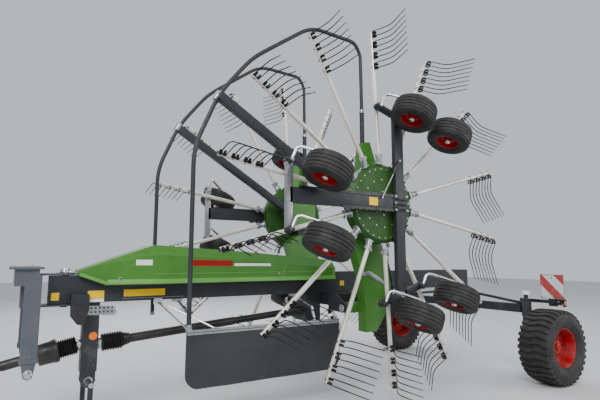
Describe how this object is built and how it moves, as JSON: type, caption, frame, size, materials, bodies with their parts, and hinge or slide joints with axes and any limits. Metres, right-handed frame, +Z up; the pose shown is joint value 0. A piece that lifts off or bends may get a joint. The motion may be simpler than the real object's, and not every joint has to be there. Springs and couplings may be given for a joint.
{
  "type": "twin-rotor rotary rake",
  "caption": "Towed rotary rake folded upright for the road, with swivelling headstock, telescopic folding booms, steered rear wheels and a parking stand.",
  "frame": {"origin": "on the ground under the middle of the machine's length and width", "axes": "+X points to the rear, away from the tractor; +Z up; the left side is -Y"},
  "size_m": [6.2495, 2.99, 3.9113],
  "materials": {
    "green_paint": "gloss",
    "grey_paint": "satin",
    "galvanised": "spangled",
    "arm_tube": "satin",
    "tine_steel": "satin",
    "black_plastic": "matte",
    "curtain_cloth": "matte",
    "red_paint": "gloss",
    "tyre": "matte",
    "board_stripes": "reflective",
    "lamp": "gloss"
  },
  "bodies": {
    "frame": {"main_beam": "grey_paint", "rear_axle": "grey_paint", "drive_shaft": "black_plastic", "transfer_gearbox": "grey_paint", "boom_mount": "grey_paint", "hood": "green_paint", "curtain": "curtain_cloth", "curtain_rail": "galvanised", "warning_boards": "board_stripes", "rear_lamps": "lamp"},
    "headstock": {"headstock": "grey_paint"},
    "stand": {"stand": "grey_paint"},
    "knuckle_left": {"knuckle_left": "grey_paint"},
    "road_wheel_left": {"road_tyre_left": "tyre", "road_rim_left": "red_paint"},
    "boom_left": {"boom_base_left": "green_paint"},
    "carriage_left": {"boom_slide_left": "grey_paint", "gearbox_left": "green_paint", "guard_left": "grey_paint", "running_gear_left": "grey_paint"},
    "rotor_left": {"rotor_hub_left": "green_paint", "arm_sockets_left": "galvanised", "rake_arms_left": "arm_tube", "tines_left": "tine_steel"},
    "castor_upper_front_left": {"castor_upper_front_left": "galvanised"},
    "castor_wheel_upper_front_left": {"castor_wheel_upper_front_left": "tyre"},
    "castor_upper_rear_left": {"castor_upper_rear_left": "galvanised"},
    "castor_wheel_upper_rear_left": {"castor_wheel_upper_rear_left": "tyre"},
    "castor_lower_front_left": {"castor_lower_front_left": "galvanised"},
    "castor_wheel_lower_front_left": {"castor_wheel_lower_front_left": "tyre"},
    "castor_lower_rear_left": {"castor_lower_rear_left": "galvanised"},
    "castor_wheel_lower_rear_left": {"castor_wheel_lower_rear_left": "tyre"},
    "castor_lead_upper_left": {"castor_lead_upper_left": "galvanised"},
    "castor_wheel_lead_upper_left": {"castor_wheel_lead_upper_left": "tyre"},
    "castor_lead_lower_left": {"castor_lead_lower_left": "galvanised"},
    "castor_wheel_lead_lower_left": {"castor_wheel_lead_lower_left": "tyre"},
    "knuckle_right": {"knuckle_right": "grey_paint"},
    "road_wheel_right": {"road_tyre_right": "tyre", "road_rim_right": "red_paint"},
    "boom_right": {"boom_base_right": "green_paint"},
    "carriage_right": {"boom_slide_right": "grey_paint", "gearbox_right": "green_paint", "guard_right": "grey_paint", "running_gear_right": "grey_paint"},
    "rotor_right": {"rotor_hub_right": "green_paint", "arm_sockets_right": "galvanised", "rake_arms_right": "arm_tube", "tines_right": "tine_steel"},
    "castor_upper_front_right": {"castor_upper_front_right": "galvanised"},
    "castor_wheel_upper_front_right": {"castor_wheel_upper_front_right": "tyre"},
    "castor_upper_rear_right": {"castor_upper_rear_right": "galvanised"},
    "castor_wheel_upper_rear_right": {"castor_wheel_upper_rear_right": "tyre"},
    "castor_lower_front_right": {"castor_lower_front_right": "galvanised"},
    "castor_wheel_lower_front_right": {"castor_wheel_lower_front_right": "tyre"},
    "castor_lower_rear_right": {"castor_lower_rear_right": "galvanised"},
    "castor_wheel_lower_rear_right": {"castor_wheel_lower_rear_right": "tyre"},
    "castor_lead_upper_right": {"castor_lead_upper_right": "galvanised"},
    "castor_wheel_lead_upper_right": {"castor_wheel_lead_upper_right": "tyre"},
    "castor_lead_lower_right": {"castor_lead_lower_right": "galvanised"},
    "castor_wheel_lead_lower_right": {"castor_wheel_lead_lower_right": "tyre"}
  },
  "joints": [
    {"name": "hitch_swivel", "type": "hinge", "parent": "frame", "child": "headstock", "pos_m": [-2.35, 0, 1.175], "axis": [0, 0, 1], "range_deg": [-35, 35]},
    {"name": "stand_fold", "type": "hinge", "parent": "frame", "child": "stand", "pos_m": [-2.13, 0, 0.4], "axis": [0, -1, 0], "range_deg": [0, 95]},
    {"name": "steer_left", "type": "hinge", "parent": "frame", "child": "knuckle_left", "pos_m": [2.7, -1.01, 0.83], "axis": [0, 0, 1], "range_deg": [-20, 20]},
    {"name": "wheel_spin_left", "type": "hinge", "parent": "knuckle_left", "child": "road_wheel_left", "pos_m": [2.7, -1.305, 0.425], "axis": [0, 1, 0], "continuous": true},
    {"name": "boom_fold_left", "type": "hinge", "parent": "frame", "child": "boom_left", "pos_m": [0.45, -0.565, 0.93], "axis": [1, 0, 0], "range_deg": [0, 90]},
    {"name": "boom_extend_left", "type": "slide", "parent": "boom_left", "child": "carriage_left", "axis": [0, 0, 1], "range_m": [0, 0.7602]},
    {"name": "rotor_spin_left", "type": "hinge", "parent": "carriage_left", "child": "rotor_left", "pos_m": [0.45, -0.93, 2], "axis": [0, -1, 0], "continuous": true},
    {"name": "castor_swivel_upper_front_left", "type": "hinge", "parent": "carriage_left", "child": "castor_upper_front_left", "pos_m": [0.3618, -1, 2.99894], "axis": [0, -1, 0], "range_deg": [0, 50]},
    {"name": "castor_spin_upper_front_left", "type": "hinge", "parent": "castor_upper_front_left", "child": "castor_wheel_upper_front_left", "pos_m": [0.60197, -1.27, 2.88695], "axis": [0.4226, 0, 0.9063], "continuous": true},
    {"name": "castor_swivel_upper_rear_left", "type": "hinge", "parent": "carriage_left", "child": "castor_upper_rear_left", "pos_m": [0.8782, -1, 2.84106], "axis": [0, -1, 0], "range_deg": [0, 50]},
    {"name": "castor_spin_upper_rear_left", "type": "hinge", "parent": "castor_upper_rear_left", "child": "castor_wheel_upper_rear_left", "pos_m": [1.11837, -1.27, 2.72907], "axis": [0.4226, 0, 0.9063], "continuous": true},
    {"name": "castor_swivel_lower_front_left", "type": "hinge", "parent": "carriage_left", "child": "castor_lower_front_left", "pos_m": [0.3618, -1, 1.00106], "axis": [0, -1, 0], "range_deg": [0, 50]},
    {"name": "castor_spin_lower_front_left", "type": "hinge", "parent": "castor_lower_front_left", "child": "castor_wheel_lower_front_left", "pos_m": [0.60197, -1.27, 0.88907], "axis": [0.4226, 0, 0.9063], "continuous": true},
    {"name": "castor_swivel_lower_rear_left", "type": "hinge", "parent": "carriage_left", "child": "castor_lower_rear_left", "pos_m": [0.8782, -1, 1.15894], "axis": [0, -1, 0], "range_deg": [0, 50]},
    {"name": "castor_spin_lower_rear_left", "type": "hinge", "parent": "castor_lower_rear_left", "child": "castor_wheel_lower_rear_left", "pos_m": [1.11837, -1.27, 1.04695], "axis": [0.4226, 0, 0.9063], "continuous": true},
    {"name": "castor_swivel_lead_upper_left", "type": "hinge", "parent": "carriage_left", "child": "castor_lead_upper_left", "pos_m": [-0.7, -1, 2.31], "axis": [0, -1, 0], "range_deg": [0, 50]},
    {"name": "castor_spin_lead_upper_left", "type": "hinge", "parent": "castor_lead_upper_left", "child": "castor_wheel_lead_upper_left", "pos_m": [-0.45983, -1.27, 2.19801], "axis": [0.4226, 0, 0.9063], "continuous": true},
    {"name": "castor_swivel_lead_lower_left", "type": "hinge", "parent": "carriage_left", "child": "castor_lead_lower_left", "pos_m": [-0.7, -1, 1.69], "axis": [0, -1, 0], "range_deg": [0, 50]},
    {"name": "castor_spin_lead_lower_left", "type": "hinge", "parent": "castor_lead_lower_left", "child": "castor_wheel_lead_lower_left", "pos_m": [-0.45983, -1.27, 1.57801], "axis": [0.4226, 0, 0.9063], "continuous": true},
    {"name": "steer_right", "type": "hinge", "parent": "frame", "child": "knuckle_right", "pos_m": [2.7, 1.01, 0.83], "axis": [0, 0, 1], "range_deg": [-20, 20]},
    {"name": "wheel_spin_right", "type": "hinge", "parent": "knuckle_right", "child": "road_wheel_right", "pos_m": [2.7, 1.305, 0.425], "axis": [0, 1, 0], "continuous": true},
    {"name": "boom_fold_right", "type": "hinge", "parent": "frame", "child": "boom_right", "pos_m": [0.45, 0.565, 0.93], "axis": [-1, 0, 0], "range_deg": [0, 90]},
    {"name": "boom_extend_right", "type": "slide", "parent": "boom_right", "child": "carriage_right", "axis": [0, 0, 1], "range_m": [0, 0.7602]},
    {"name": "rotor_spin_right", "type": "hinge", "parent": "carriage_right", "child": "rotor_right", "pos_m": [0.45, 0.93, 2], "axis": [0, 1, 0], "continuous": true},
    {"name": "castor_swivel_upper_front_right", "type": "hinge", "parent": "carriage_right", "child": "castor_upper_front_right", "pos_m": [0.3618, 1, 2.99894], "axis": [0, -1, 0], "range_deg": [0, 50]},
    {"name": "castor_spin_upper_front_right", "type": "hinge", "parent": "castor_upper_front_right", "child": "castor_wheel_upper_front_right", "pos_m": [0.60197, 1.27, 2.88695], "axis": [0.4226, 0, 0.9063], "continuous": true},
    {"name": "castor_swivel_upper_rear_right", "type": "hinge", "parent": "carriage_right", "child": "castor_upper_rear_right", "pos_m": [0.8782, 1, 2.84106], "axis": [0, -1, 0], "range_deg": [0, 50]},
    {"name": "castor_spin_upper_rear_right", "type": "hinge", "parent": "castor_upper_rear_right", "child": "castor_wheel_upper_rear_right", "pos_m": [1.11837, 1.27, 2.72907], "axis": [0.4226, 0, 0.9063], "continuous": true},
    {"name": "castor_swivel_lower_front_right", "type": "hinge", "parent": "carriage_right", "child": "castor_lower_front_right", "pos_m": [0.3618, 1, 1.00106], "axis": [0, -1, 0], "range_deg": [0, 50]},
    {"name": "castor_spin_lower_front_right", "type": "hinge", "parent": "castor_lower_front_right", "child": "castor_wheel_lower_front_right", "pos_m": [0.60197, 1.27, 0.88907], "axis": [0.4226, 0, 0.9063], "continuous": true},
    {"name": "castor_swivel_lower_rear_right", "type": "hinge", "parent": "carriage_right", "child": "castor_lower_rear_right", "pos_m": [0.8782, 1, 1.15894], "axis": [0, -1, 0], "range_deg": [0, 50]},
    {"name": "castor_spin_lower_rear_right", "type": "hinge", "parent": "castor_lower_rear_right", "child": "castor_wheel_lower_rear_right", "pos_m": [1.11837, 1.27, 1.04695], "axis": [0.4226, 0, 0.9063], "continuous": true},
    {"name": "castor_swivel_lead_upper_right", "type": "hinge", "parent": "carriage_right", "child": "castor_lead_upper_right", "pos_m": [-0.7, 1, 2.31], "axis": [0, -1, 0], "range_deg": [0, 50]},
    {"name": "castor_spin_lead_upper_right", "type": "hinge", "parent": "castor_lead_upper_right", "child": "castor_wheel_lead_upper_right", "pos_m": [-0.45983, 1.27, 2.19801], "axis": [0.4226, 0, 0.9063], "continuous": true},
    {"name": "castor_swivel_lead_lower_right", "type": "hinge", "parent": "carriage_right", "child": "castor_lead_lower_right", "pos_m": [-0.7, 1, 1.69], "axis": [0, -1, 0], "range_deg": [0, 50]},
    {"name": "castor_spin_lead_lower_right", "type": "hinge", "parent": "castor_lead_lower_right", "child": "castor_wheel_lead_lower_right", "pos_m": [-0.45983, 1.27, 1.57801], "axis": [0.4226, 0, 0.9063], "continuous": true}
  ],
  "couplings": [
    {"joint": "steer_left", "follows": "hitch_swivel", "ratio": -0.5},
    {"joint": "boom_extend_left", "follows": "boom_fold_left", "m_per_rad": 0.48383},
    {"joint": "steer_right", "follows": "hitch_swivel", "ratio": -0.5},
    {"joint": "boom_extend_right", "follows": "boom_fold_right", "m_per_rad": 0.48383}
  ]
}
